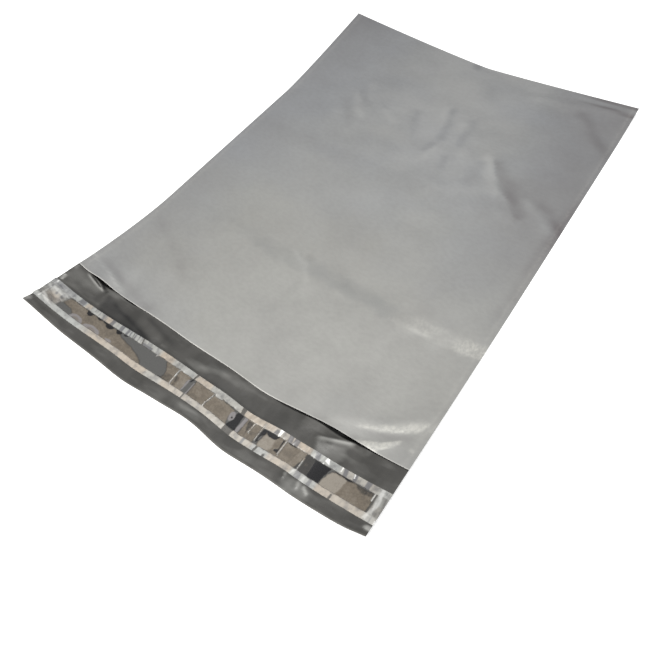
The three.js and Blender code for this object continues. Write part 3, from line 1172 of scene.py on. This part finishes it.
@dataclass
class MailerFilm:
    """The bag itself: one closed film with an open pocket."""

    shape: BagShape
    thickness: float = FILM_GAUGE
    fold_band: float = 2.0
    rows_past_mouth: int = 4
    creased: Points = ((-129.0, 15.0), (101.0, 16.0))

    def stations(self) -> tuple[np.ndarray, np.ndarray]:
        """Sets out the film's vertices, closest where it is creased.

        Returns:
            Their places across and from the mouth.
        """
        half, depth = self.shape.half_width, self.shape.pocket_depth
        inside = half - WELD
        columns = spaced((-half, -inside, -30, inside, half), (1.4, 3.3, 2.35, 1.4))
        rows = spaced(
            (-self.shape.lip, -50.6, -9, 0, 0.45, 0.9)
            + (24, 84, 116, 232, 332, 386, depth - self.fold_band, depth),
            (0.4, 1.2, 0.6, 0.45, 0.45, 1.9, 4.3, 1.8, 4.9, 2.25, 3.6, 2.3, 1),
        )
        return columns, rows

    def lip_columns(self, columns: np.ndarray) -> tuple[np.ndarray, np.ndarray]:
        """Sets closer columns over the lip, closest where it is creased.

        Args:
            columns: the pocket's columns.

        Returns:
            The lip's columns, and where among them the pocket's own ones are.
        """
        steps = np.arange(4 * len(columns) - 3)
        finest = np.interp(steps / 4, np.arange(len(columns)), columns)
        inside = np.abs(finest) < self.shape.half_width - WELD
        creased = np.any([np.abs(finest - at) < reach for at, reach in self.creased], axis=0)
        closer = finest[(steps % 4 == 0) | inside & (creased | (steps % 2 == 0))]
        return closer, np.searchsorted(closer, columns - 1e-6)

    def back(
        self, film: FilmMesh, columns: np.ndarray, rows: np.ndarray, split: int, rise: float
    ) -> tuple[np.ndarray, np.ndarray, np.ndarray]:
        """Adds one side of the back panel, with closer columns over the lip.

        Args:
            film: the mesh it goes into.
            columns: the pocket's columns.
            rows: every row, from the lip's edge to the fold.
            split: the last row that has the closer columns.
            rise: how far this side is above the underside.

        Returns:
            The lip's block, the whole block on the pocket's columns, and where they are in the lip's.
        """
        shape = self.shape
        closer, kept = self.lip_columns(columns)
        blocks = []
        for across, down in ((closer, rows[: split + 1]), (columns, rows[split + 1 :])):
            u, v = np.meshgrid(across, down, indexing="ij")
            slid = v + shape.edge_shift(u, v) + shape.lip_drift(u, v)
            places = np.stack([u, v, np.zeros_like(u)], axis=-1)
            blocks.append(film.layer(places, shape.place(u, slid, shape.back_height(u, v) + rise)))
        lip, pocket = blocks
        return lip, np.concatenate([lip[kept], pocket], axis=1), kept

    def front(
        self, film: FilmMesh, u: np.ndarray, v: np.ndarray, back_inner: np.ndarray, weld: int, mouth: int
    ) -> tuple[np.ndarray, np.ndarray]:
        """Adds the front panel, whose inner side shares the back's vertices along its welds and fold.

        Args:
            film: the mesh it goes into.
            u: places across.
            v: places from the mouth.
            back_inner: the back panel's inner side.
            weld: the column where the weld ends.
            mouth: the row of the mouth.

        Returns:
            The front panel's inner side and its outer one.
        """
        shape = self.shape
        columns, rows = u.shape
        pocket = (slice(weld, columns - weld), slice(mouth, rows - 2))
        inside = (slice(weld + 1, columns - weld - 1), slice(mouth, rows - 3))
        lift = np.zeros_like(u)
        lift[pocket] = shape.pocket_height(u[pocket], v[pocket])
        lift[[weld, -weld - 1], :] = 0
        lift[:, -3] = 0
        slid = v + shape.mouth_shift(u, v) * smooth_step(0, 10, shape.half_width - np.abs(u))
        back = np.maximum(shape.back_height(u, v), shape.back_height(u, slid))
        base = back + self.thickness + lift
        places = np.stack([u, v, np.ones_like(u)], axis=-1)
        inner = back_inner.copy()
        inner[inside] = film.layer(places[inside], shape.place(u, slid, base)[inside])
        raised = shape.place(u, slid, base + self.thickness)
        outer = film.layer(places[:, mouth:], raised[:, mouth:])
        return inner, outer

    def build(self) -> bpy.types.Object:
        """Builds the film, dresses it and gives it its place in the frame.

        Returns:
            The piece.
        """
        shape = self.shape
        columns, rows = self.stations()
        u, v = np.meshgrid(columns, rows, indexing="ij")
        mouth = int(np.argmin(np.abs(rows)))
        split = mouth + self.rows_past_mouth
        weld = int(np.argmin(np.abs(columns - (WELD - shape.half_width))))
        welded = slice(weld, len(columns) - weld)

        film = FilmMesh()
        lip_under, underside, kept = self.back(film, columns, rows, split, 0)
        lip_inner, back_inner, _ = self.back(film, columns, rows, split, self.thickness)
        front_inner, front_outer = self.front(film, u, v, back_inner, weld, mouth)

        film.cover(lip_under, False, Face.OUTER)
        film.ease(lip_under[:, -1], underside[:, split + 1], kept, False, Face.OUTER)
        film.cover(underside[:, split + 1 :], False, Face.OUTER)
        film.cover(lip_inner[:, : mouth + 1], True, Face.INNER)
        film.cover(lip_inner[kept[weld] : kept[-weld - 1] + 1, mouth:], True, Face.INNER)
        film.ease(lip_inner[:, -1], back_inner[welded, split + 1], kept[welded], True, Face.INNER)
        film.cover(back_inner[welded, split + 1 : -2], True, Face.INNER)
        film.cover(front_inner[welded, mouth:-2], False, Face.INNER)
        film.cover(front_outer, True, Face.OUTER)
        film.wall(lip_under[:, 0], lip_inner[:, 0], Face.OUTER)
        film.close(underside, back_inner, Face.OUTER)
        film.surround(front_inner[:, mouth:], front_outer, Face.OUTER)

        piece = film.build("mailer_film", FilmLooks(shape, *film.all_places()).marks())
        piece.data.materials.append(OuterFilmFinish().material())
        piece.data.materials.append(InnerFilmFinish().material())
        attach(piece, BODY)
        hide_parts("bag_film")
        return piece


# Marks on the strip, along it and across from its centre line: where the adhesive wets the liner
WETTED: tuple[Mark, ...] = (
    Blot(((-133.4, 5.4), (-122, 5.8), (-86, 5), (-80, 2.2), (-68, 0.2), (-60, -1.6), (-55, -4), (-52, -7),
        (-122, -7), (-124.6, -3.2), (-127.6, -0.9), (-137, -0.5), (-135.6, 2.5))),
    Blot(((-38, 7), (-35, 3.4), (-32.3, 0.3), (-31.8, -3), (-33, -7), (-13.5, -7), (-12.6, -2), (-13.3, 2),
        (-11.5, 7))),
    Blot(((-7.2, 7), (31, 5.5), (29.6, 2.5), (29, -1), (29.6, -4), (31.5, -7), (-7, -7))),
    box_mark(42, 54.2, -7, 7),
    Blot(((58.8, 7), (96.9, 7), (97.8, -7), (57, -7))),
    Blot(((113, 5.8), (143, 5.4), (143.6, 2), (143.3, -5), (142, -7), (107.4, -7), (107.8, -1.5), (109, 2),
        (110.5, 4.4))),
)

# Where there is no adhesive
BARE: tuple[Mark, ...] = (
    Blot(((33.4, 7), (38.6, 7), (38.2, 3), (39, -7), (30.8, -7), (31.6, -3.4), (33.4, 0), (32.8, 3.6))),
    Blot(((96.6, 7), (109.2, 7), (108.3, 2), (107.3, -2), (107, -7), (97.9, -7), (97.3, 0))),
    Blot(((55.6, 7), (58.8, 5.6), (58.4, 2.4), (56.9, 0.5), (56.2, -2), (56.7, -3.6), (55.9, -4.6),
        (54.8, -3.8), (54, -1.5), (54.2, 1.5), (55.2, 3.5))),
    Blot(((-9, 7), (-10.3, 7), (-11.6, 3), (-10.4, 3))),
    Blot(((70.8, 6), (72.8, 6), (72.6, -2), (73.2, -3.8), (69, -3.6), (69.6, -2.4), (71.6, -1.4))),
    Disc(63.2, 7.4, 5.6, 5),
    Disc(78.5, 6.8, 4.2, 1.5),
    Blot(((-117.3, 6.6), (-111.4, 6.6), (-112.3, 3.2), (-114.5, 2.2), (-116.6, 3.4))),
    Disc(-105.8, 5.9, 2.2, 1.5),
    Disc(-95.4, 5.3, 3.5, 2.8),
    Disc(-99.5, 5.6, 2.2, 0.9),
    Disc(-85.8, 5.3, 2.8, 2.4),
    Disc(-79.4, 6.2, 2.2, 1.6),
    Disc(31.6, 0.2, 0.7, 0.7),
    Disc(115, 6.6, 2.6, 1.4),
    Disc(122, 6.4, 4.6, 1.8),
    box_mark(-35.5, -25.5, -6.6, -5.6),
    Blot(((142.8, 5.5), (144.2, 5.5), (144.6, -5), (143.2, -6.5), (143.6, -1))),
)

# Where the liner has lifted off the adhesive
BLISTERS: tuple[Mark, ...] = (
    Disc(-118.7, -5.8, 5.6, 4),
    Disc(-103.7, -5.8, 7.4, 3.8),
    Disc(-87.5, -4.9, 2.8, 0.9),
    Disc(31.2, 1, 2.3, 3.6),
    box_mark(39.2, 41.8, -7, 7, 0.05),
    box_mark(-13.2, -12.2, -6, 4),
    box_mark(-8.4, -7.3, -6, 4),
)

# Where the adhesive looks paler (above 0) or darker (below 0)
ADHESIVE_TINTS: tuple[Tint, ...] = (
    Tint(box_mark(107, 121.5, -7, 5, 0.15), 1.1, 0.9),
    Tint(Blot(((59, 2.6), (66, 3.4), (67.6, -2), (65, -7), (56.6, -7), (57.4, -2.4))), 0.8, 0.9),
    Tint(box_mark(84, 89, -7, 7, 0.2), 0.3, 0.9),
    Tint(box_mark(-20.5, -13.5, -7, 3), 0.3, 0.9),
    Tint(Disc(-28, -3.5, 4.6, 3), -0.5, 0.7),
    Tint(box_mark(-22.4, -19.8, -6, 1, -0.2), -0.6, 0.7),
    Tint(Blot(((42.8, 5.5), (47, 5.5), (46.6, -4.5), (45.4, -1))), -0.8, 0.5),
    Tint(box_mark(48.8, 50.4, -7, -0.5), -0.4, 0.7),
    Tint(Blot(((90.5, 7), (97.2, 7), (98, -7), (87.6, -7))), -1.1, 0.6),
    Tint(Blot(((128, 7), (143, 7), (142.4, 3), (136, 2.4), (131, 3.4))), -0.7, 0.7),
)


@dataclass
class StripLayout:
    """Where the closure strip lies on the lip, in millimetres, read from the frame."""

    shape: BagShape
    marks_start: float = 0.8
    liner: tuple[float, float] = field(init=False)
    adhesive: tuple[float, float] = field(init=False)
    ends: tuple[float, float] = field(init=False)

    def __post_init__(self) -> None:
        """Reads both pieces' outlines from the frame."""
        mouth = self.shape.mouth_y
        low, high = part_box("release_liner")
        self.liner = (low.y / MM - mouth, high.y / MM - mouth)
        low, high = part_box("adhesive_strip")
        self.adhesive = (low.y / MM - mouth, high.y / MM - mouth)
        self.ends = (low.x / MM, high.x / MM)

    def grid(
        self, ends: tuple[float, float], sides: tuple[float, float], cell: float
    ) -> tuple[np.ndarray, np.ndarray]:
        """Places across the bag and from the mouth, about a cell apart."""
        return tuple(np.meshgrid(spaced(ends, (cell,)), spaced(sides, (cell,)), indexing="ij"))

    def strip_places(self, u: np.ndarray, v: np.ndarray) -> tuple[np.ndarray, np.ndarray]:
        """Places along the strip's marks, and across them from its centre line, in millimetres."""
        return u - self.marks_start, v - sum(self.liner) / 2

    def seat(self, u: np.ndarray, v: np.ndarray) -> np.ndarray:
        """Height of the lip's inner face under the strip, in millimetres."""
        return self.shape.back_height(u, v) + FILM_GAUGE

    def slab(
        self,
        name: str,
        grid: tuple[np.ndarray, np.ndarray],
        lower: np.ndarray,
        upper: np.ndarray,
        looks: dict[str, np.ndarray],
    ) -> bpy.types.Object:
        """Builds a closed slab that follows the lip where it has drifted.

        Args:
            name: the piece's name.
            grid: places across the bag and from the mouth.
            lower: heights of its underside there.
            upper: heights of its top.
            looks: one value per place under each name, for the finish to read.

        Returns:
            The new object, linked to the scene.
        """
        u, v = grid
        slid = v + self.shape.lip_drift(u, v)
        places = np.stack([u, v, np.zeros_like(u)], axis=-1)
        mesh = FilmMesh()
        bottom, top = (mesh.layer(places, self.shape.place(u, slid, side)) for side in (lower, upper))
        mesh.cover(bottom, False, Face.OUTER)
        mesh.cover(top, True, Face.OUTER)
        mesh.surround(bottom, top, Face.OUTER)
        return mesh.build(name, {look: np.tile(values.ravel(), 2) for look, values in looks.items()})


def deepest(
    marks: tuple[Mark, ...], along: np.ndarray, across: np.ndarray, ragged: float, seed: int
) -> np.ndarray:
    """How far inside the nearest of some marks each place is, with ragged edges.

    Args:
        marks: the marks.
        along: places along the strip.
        across: places across it, from its centre line.
        ragged: how far the edges stray, in millimetres.
        seed: picks how they stray.

    Returns:
        Depths in millimetres, below 0 outside every mark.
    """
    depth = np.max([mark.depth_at(along, across) for mark in marks], axis=0)
    return depth + ragged * layered_noise(along, across, (3, 3), seed)


@dataclass
class AdhesiveStrip:
    """The band of hot-melt adhesive, thin where it is bare."""

    layout: StripLayout
    cell: float = 0.45
    clearance: float = 0.03
    thickness: float = 0.12

    def build(self) -> bpy.types.Object:
        """Builds the strip, dresses it and gives it its place in the frame.

        Returns:
            The piece.
        """
        layout = self.layout
        u, v = layout.grid(layout.ends, layout.adhesive, self.cell)
        along, across = layout.strip_places(u, v)
        wet = deepest(WETTED, along, across, 0.5, 41)
        wet -= 1.2 * smooth_step(0.6, 1.8, deepest(BLISTERS[:2], along, across, 0.4, 43))
        bare = smooth_step(-0.25, 0.25, deepest(BARE, along, across, 0.45, 45))
        inside = deepest(BLISTERS, along, across, 0.4, 43)
        blister = smooth_step(-0.3, 0.3, inside) - 0.6 * smooth_step(1.3, 2.4, inside)
        stray = 0.8 * layered_noise(along, across, (3, 3), 47)
        tone = sum(tint.strength_at(along, across, stray) for tint in ADHESIVE_TINTS)
        tone += 0.3 * layered_noise(along, across, (7, 4), 51)
        full = smooth_step(-0.4, 0.4, wet) * (1 - bare)
        lower = layout.seat(u, v) + self.clearance
        upper = lower + self.thickness * (0.35 + 0.5 * full + 0.15 * blister)
        looks = {"wet": wet, "bare": bare, "blister": blister, "tone": tone}
        piece = layout.slab("adhesive_band", (u, v), lower, upper, looks)
        piece.data.materials.append(AdhesiveFinish().material())
        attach(piece, BODY)
        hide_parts("adhesive_strip")
        return piece


@dataclass(frozen=True)
class Rib:
    """A narrow ridge where the liner stands up across the strip, in millimetres."""

    at: float
    lean: float
    height: float
    reach: float = 0.5
    low: float = -5.8
    high: float = 5.8

    def height_at(self, u: np.ndarray, across: np.ndarray) -> np.ndarray:
        """The rib's height at each place.

        Args:
            u: places along the strip.
            across: places across it, from its centre line.

        Returns:
            Heights in millimetres.
        """
        line = self.at + self.lean * across
        ends = smooth_step(self.low - 0.6, self.low + 0.6, across)
        ends *= smooth_step(self.high + 0.6, self.high - 0.6, across)
        return self.height * ends * bump(u - line, 0, self.reach)


RIBS: tuple[Rib, ...] = (
    Rib(-23.4, -0.03, 0.9, 0.62),
    Rib(9.4, 0.22, 0.8, 0.5, -2.5),
    Rib(8.6, 0, 0.8, 0.6, -6, -2.5),
    Rib(48, 0.05, 0.8, 0.5, -2, 6),
    Rib(54.6, 0, 0.7, 0.45, -4, 9),
    Rib(73.6, 0.03, 0.8, 0.5, -4.5, 6),
    Rib(90.3, 0, 0.75, 0.45, -5.5, 3),
    Rib(142.6, 0, 0.5, 0.5, 1, 6),
)

# Where a band of the liner lies flat and looks clear
BAND_GAPS: tuple[Mark, ...] = (
    box_mark(35.6, 39, 5.5, 11, -0.15),
    box_mark(31, 38.4, -11, -5.5),
    Blot(((-8, 11), (-9.4, 11), (-11.6, 3), (-10.2, 3))),
    box_mark(-9, -7.9, -11, -5),
    box_mark(59.4, 60.9, -11, -6, 0.15),
    Disc(66.2, -10, 0.8, 1.4),
    box_mark(118.2, 119.6, -11, -7),
    box_mark(-61.4, -60.2, 5, 11, -0.35),
    box_mark(-71.6, -70.8, 6, 11, -0.3),
)

# Where a band is shaded: right across at places (start, end) along the strip, or leaning
UPPER_SHADES: Points = (
    (-127.5, -122.5), (-97, -94), (-87.6, -84.2), (-80.6, -78.6), (77.5, 81.5), (134, 137.5),
)
LOWER_SHADES: Points = ((47.4, 49.2), (90.6, 95), (101, 103.4))
BAND_SHADES: tuple[Mark, ...] = (
    *(box_mark(start, end, 5, 11) for start, end in UPPER_SHADES),
    *(box_mark(start, end, -11, -5) for start, end in LOWER_SHADES),
    box_mark(-147, -141, 6.5, 10),
    box_mark(-75.6, -74.4, 6, 11, -0.2),
    box_mark(-71, -69.6, 5, 11, -0.2),
    box_mark(-63, -53, 5, 8),
    box_mark(61.4, 64.2, 5, 9.5, 0.2),
    box_mark(75, 78.6, 5, 11, -0.2),
    box_mark(97.6, 101.2, 5.5, 11, -0.3),
    box_mark(119.5, 122.5, 5, 11, -0.3),
    box_mark(126.4, 129, 5, 11, -0.2),
)

# How creamy the liner's bands look along the strip: (place, share)
UPPER_CREAM: Points = (
    (-122, 0), (-121, 0.8), (-117, 0.8), (-116, 0.1), (-104, 0.1), (-103, 0.7), (-96, 0.7), (-95, 0),
    (-47, 0), (-43, 0.8), (-34, 0.8), (-31, 0.1), (-11, 0.1), (-8, 0.8), (4, 0.8), (7, 0.15),
    (33, 0.15), (38, 0.8), (60, 0.8), (66, 0.4), (80, 0.5), (82, 0.85), (91, 0.85), (92.5, 0), (112, 0),
    (120, 0.5), (140, 0.5), (146, 0.1),
)
LOWER_CREAM: Points = (
    (-112, 0.05), (-100, 0.85), (-46, 0.85), (-43, 0.2), (-31, 0.2), (-28, 0.8), (4, 0.6), (30, 0.4),
    (36, 0.5), (54, 0.6), (57, 0), (67, 0), (70, 0.7), (86, 0.7), (88.5, 0), (106, 0), (108, 0.9),
    (140, 0.9), (146, 0.3),
)

# Where the liner catches the light sharply
GLINTS: tuple[Mark, ...] = (
    Blot(((65.2, 11.5), (68.4, 11.5), (67.6, 6.4), (66.6, 5.6))),
    Blot(((103, 11.4), (104.4, 11.4), (106.6, 7), (102.6, 8.2))),
    Blot(((101.6, 5.9), (103.4, 5.9), (102.5, 7))),
    Blot(((114.9, 11), (116, 11), (115.8, 7.4), (115.2, 7.4))),
    Blot(((124.2, 11), (124.9, 11), (125.8, 8), (125.2, 8))),
    box_mark(151.2, 152.6, -11, -8),
    Blot(((-150.6, 10.5), (-149.6, 10.5), (-148.8, -9.5), (-150, -9.5))),
)

# Where it catches the light softly
SHEENS: tuple[Mark, ...] = (
    Blot(((88.2, -6), (90.4, -6), (88.6, -11), (87, -11))),
    box_mark(96.2, 99, -11, -6),
    Blot(((-149, 5.4), (-137, 5.8), (-134, 4.2), (-137, 2.4), (-149, 2.4))),
    Blot(((-150, -3), (-147, -4), (-138, -8.6), (-141, -10), (-150, -6))),
    Blot(((144, 10.5), (147, 10.5), (148.6, 0), (145.6, -10), (142.6, -10), (145.6, 0))),
)

# Where a band's milky edge spreads over the adhesive
TABS: tuple[Mark, ...] = (
    Blot(((10.4, 7), (18.6, 7), (17.4, 4.9), (12, 4.7))),
    Blot(((-48, 7), (-44.5, 7), (-46.6, 4.2))),
)


@dataclass
class LinerLooks:
    """How the liner looks at each place along the strip and across it from its centre line."""

    u: np.ndarray
    across: np.ndarray
    margin: float
    left: np.ndarray = field(init=False)
    right: np.ndarray = field(init=False)
    bands: np.ndarray = field(init=False)
    grain: np.ndarray = field(init=False)
    upright: np.ndarray = field(init=False)
    ribs: np.ndarray = field(init=False)

    def __post_init__(self) -> None:
        """Works out the zones that the looks share: the loose ends and bands, the grain and the ribs."""
        u, across = self.u, self.across
        wobble = layered_noise(u, across, (4, 4), 61)
        self.left = smooth_step(-133.8, -136.2, u + 1.2 * wobble - 0.25 * across)
        self.right = smooth_step(143.8, 144.8, u + 0.5 * wobble)
        self.bands = smooth_step(self.margin - 0.3, self.margin + 0.3, np.abs(across) + 0.35 * wobble)
        self.grain = slanting_grain(u, across)
        self.upright = 0.72 + 0.28 * layered_noise(u + 0.25 * across, across, (1.8, 14), 67)
        self.ribs = np.max([rib.height_at(u, across) / rib.height for rib in RIBS], axis=0)

    def milk(self) -> np.ndarray:
        """Where the liner stands off the lip and looks milky.

        Returns:
            The strength at each place.
        """
        tabs = smooth_step(-0.3, 0.3, np.max([tab.depth_at(self.u, self.across) for tab in TABS], axis=0))
        gaps = smooth_step(-0.3, 0.3, deepest(BAND_GAPS, self.u, self.across, 0.3, 63))
        ends = np.maximum(self.left * (0.76 + 0.26 * self.grain), self.right * self.upright)
        return np.maximum.reduce([self.bands * (1 - 0.8 * gaps), ends, self.ribs, tabs])

    def cream(self) -> np.ndarray:
        """How creamy the milky places look.

        Returns:
            The strength at each place.
        """
        turned = value_noise(self.u, self.across, (16, 30), 81) * 0.25
        upper, lower = (np.interp(self.u, *zip(*cream)) for cream in (UPPER_CREAM, LOWER_CREAM))
        end_cream = 0.9 * self.left * bump(self.u, -142, 7) * bump(self.across, -2, 4)
        return (np.where(self.across > 0, upper, lower) + turned) * (1 - self.left) + end_cream

    def mauve(self) -> np.ndarray:
        """Where the milky places are shaded, in pleats and in marks of their own.

        Returns:
            The strength at each place.
        """
        u, across, left = self.u, self.across, self.left
        upper = across > 0
        pleats = smooth_step(0.15, 0.6, layered_noise(u + 0.15 * across, across, (2.1, 18), 83))
        pleated = smooth_step(-42, -74, u) * upper + 0.45 * smooth_step(106, 116, u) * upper
        banded = 0.75 * pleats * (pleated + 0.1 + 0.12 * upper)
        shades = 0.85 * smooth_step(-0.4, 0.4, deepest(BAND_SHADES, u, across, 0.3, 85))
        ends = (0.12 * left + 0.55 * self.right) * pleats
        under_mouth = 0.5 * left * smooth_step(4.6, 5.4, across)
        return np.maximum.reduce([banded, shades, ends, under_mouth]) * (1 - self.ribs)

    def white(self) -> np.ndarray:
        """Painted highlights where the liner glints and shines softly.

        Returns:
            The strength at each place.
        """
        u, across = self.u, self.across
        glints = smooth_step(-0.25, 0.25, deepest(GLINTS, u, across, 0.25, 87))
        weld_glint = np.where(u < -148, 0.45 + 0.6 * layered_noise(u, across, (2, 2.4), 89), 1)
        bright_ribs = 0.5 * self.ribs * smooth_step(-0.35, 0.15, layered_noise(u, across, (1.2, 1), 91))
        ends = 0.12 * self.left * smooth_step(-0.2, 0.6, self.grain)
        ends += 0.35 * self.right * smooth_step(0.8, 1, self.upright)
        sheen = np.where(u > 0, 0.45, 0.4) * smooth_step(-0.6, 0.9, deepest(SHEENS, u, across, 0.5, 97))
        lower_band = 0.1 * self.bands * (across < 0)
        return np.maximum.reduce([glints * weld_glint, bright_ribs, ends, sheen, lower_band])

    def marks(self) -> dict[str, np.ndarray]:
        """Every look, from 0 to 1, by the name under which the finish reads it."""
        looks = {"milk": self.milk(), "cream": self.cream(), "mauve": self.mauve(), "white": self.white()}
        return {name: np.clip(look, 0, 1) for name, look in looks.items()}


def slanting_grain(u: np.ndarray, across: np.ndarray) -> np.ndarray:
    """The fine slanting wrinkles of the liner's loose left-hand end, from about -1 to 1."""
    return layered_noise(u, across + 0.28 * u, (13, 1.5), 65)


@dataclass
class ReleaseLiner:
    """The clear film over the adhesive, wrinkled along its free margins and at its ends."""

    layout: StripLayout
    cell: float = 0.48
    clearance: float = 0.22
    thickness: float = 0.04
    margin: float = 6.1

    def wrinkles(self, u: np.ndarray, across: np.ndarray) -> np.ndarray:
        """Height of the liner's wrinkles above the adhesive, in millimetres.

        Args:
            u: places across the bag.
            across: places across the strip, from its centre line.

        Returns:
            Heights in millimetres, never below 0.
        """
        in_band = smooth_step(self.margin - 1, self.margin + 0.8, np.abs(across))
        at_end = np.clip(smooth_step(-132, -142, u) + smooth_step(141, 147, u), 0, 1)
        crossing = layered_noise(u, across, (2.6, 7), 71)
        height = 0.24 * in_band * (1 + crossing) + 0.2 * at_end * (1 + slanting_grain(u, across))
        height += 0.05 * (1 + layered_noise(u, across, (6, 6), 75))
        for rib in RIBS:
            height += rib.height_at(u, across)
        return height

    def build(self) -> bpy.types.Object:
        """Builds the liner, dresses it and gives it its place in the frame.

        Returns:
            The piece.
        """
        layout = self.layout
        half = layout.shape.half_width
        u, v = layout.grid((-half, half), layout.liner, self.cell)
        along, across = layout.strip_places(u, v)
        lower = layout.seat(u, v) + self.clearance + self.wrinkles(along, across)
        looks = LinerLooks(along, across, self.margin).marks()
        piece = layout.slab("liner_film", (u, v), lower, lower + self.thickness, looks)
        piece.data.materials.append(LinerFinish().material())
        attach(piece, BODY)
        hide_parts("release_liner")
        return piece


# ---- Studio


@dataclass(frozen=True)
class Softbox:
    """A square or oblong soft light aimed at a point on the floor."""

    name: str
    place: Colour
    target: Colour
    size: tuple[float, float]
    power: float
    colour: Colour = (1.0, 1.0, 1.0)
    spread: float = 180.0

    def build(self) -> None:
        """Hangs the light."""
        light = bpy.data.lights.new(self.name, "AREA")
        light.shape = "RECTANGLE"
        light.size, light.size_y = self.size
        light.energy = self.power
        light.color = self.colour
        light.spread = math.radians(self.spread)
        lamp = bpy.data.objects.new(self.name, light)
        lamp.location = self.place
        aim = Vector(self.target) - Vector(self.place)
        lamp.rotation_euler = aim.to_track_quat("-Z", "Y").to_euler()
        bpy.context.scene.collection.objects.link(lamp)


@dataclass(frozen=True)
class Studio:
    """The camera, the pale floor and the soft light."""

    camera_place: Colour = (0.1938, -0.2831, 0.3540)
    camera_target: Colour = (0.0510, -0.1150, 0.0)
    camera_roll: float = -6.43
    focal_length: float = 30.58
    floor_size: float = 8.0
    floor_drop: float = 0.00005
    floor_white: Colour = (0.86, 0.86, 0.86)
    ambient: Colour = (0.14, 0.142, 0.155)
    floor_glow: float = 0.75
    softboxes: tuple[Softbox, ...] = (
        Softbox("key", (0.07, -0.40, 1.2), (0.05, -0.10, 0.0), (0.4, 0.4), 6.9, (1.0, 0.99, 0.955), 110.0),
    )

    def build(self) -> None:
        """Sets the studio up."""
        self.build_camera()
        self.build_floor()
        self.build_world()
        for softbox in self.softboxes:
            softbox.build()
        bpy.context.scene.view_settings.view_transform = "Standard"

    def build_camera(self) -> None:
        """Adds the camera and makes it the scene's own."""
        data = bpy.data.cameras.new("view")
        data.sensor_width = 36.0
        data.lens = self.focal_length
        data.clip_start = 0.01
        camera = bpy.data.objects.new("view", data)
        camera.location = self.camera_place
        aim = Vector(self.camera_target) - Vector(self.camera_place)
        turn = aim.to_track_quat("-Z", "Y") @ Quaternion((0, 0, 1), math.radians(self.camera_roll))
        camera.rotation_euler = turn.to_euler()
        bpy.context.scene.collection.objects.link(camera)
        bpy.context.scene.camera = camera

    def build_floor(self) -> None:
        """Lays the pale floor just under the part."""
        half = self.floor_size / 2
        mesh = bpy.data.meshes.new("floor")
        corners = [(-half, -half), (half, -half), (half, half), (-half, half)]
        mesh.from_pydata([(x, y, -self.floor_drop) for x, y in corners], [], [(0, 1, 2, 3)])
        floor = bpy.data.objects.new("floor", mesh)
        bench = NodeBench("floor_paint")
        values = {"Base Color": self.floor_white, "Roughness": 0.8, "Emission Color": self.floor_white}
        shader = bench.node("ShaderNodeBsdfPrincipled", values | {"Emission Strength": self.floor_glow})
        mesh.materials.append(bench.finish(shader.outputs[0]))
        bpy.context.scene.collection.objects.link(floor)

    def build_world(self) -> None:
        """Lights the scene from all round."""
        world = bpy.data.worlds.new("studio")
        world.use_nodes = True
        background = world.node_tree.nodes["Background"]
        background.inputs["Color"].default_value = (*self.ambient, 1.0)
        bpy.context.scene.world = world


def main() -> None:
    """Builds the studio and the bag's pieces in order, and reports each one."""
    logging.basicConfig(level=logging.INFO, format="%(name)s: %(message)s")
    Studio().build()
    shape = BagShape()
    layout = StripLayout(shape)
    for maker in (MailerFilm(shape), AdhesiveStrip(layout), ReleaseLiner(layout)):
        piece = maker.build()
        LOG.info("%s: %d faces", piece.name, len(piece.data.polygons))


if __name__ == "__main__":
    main()
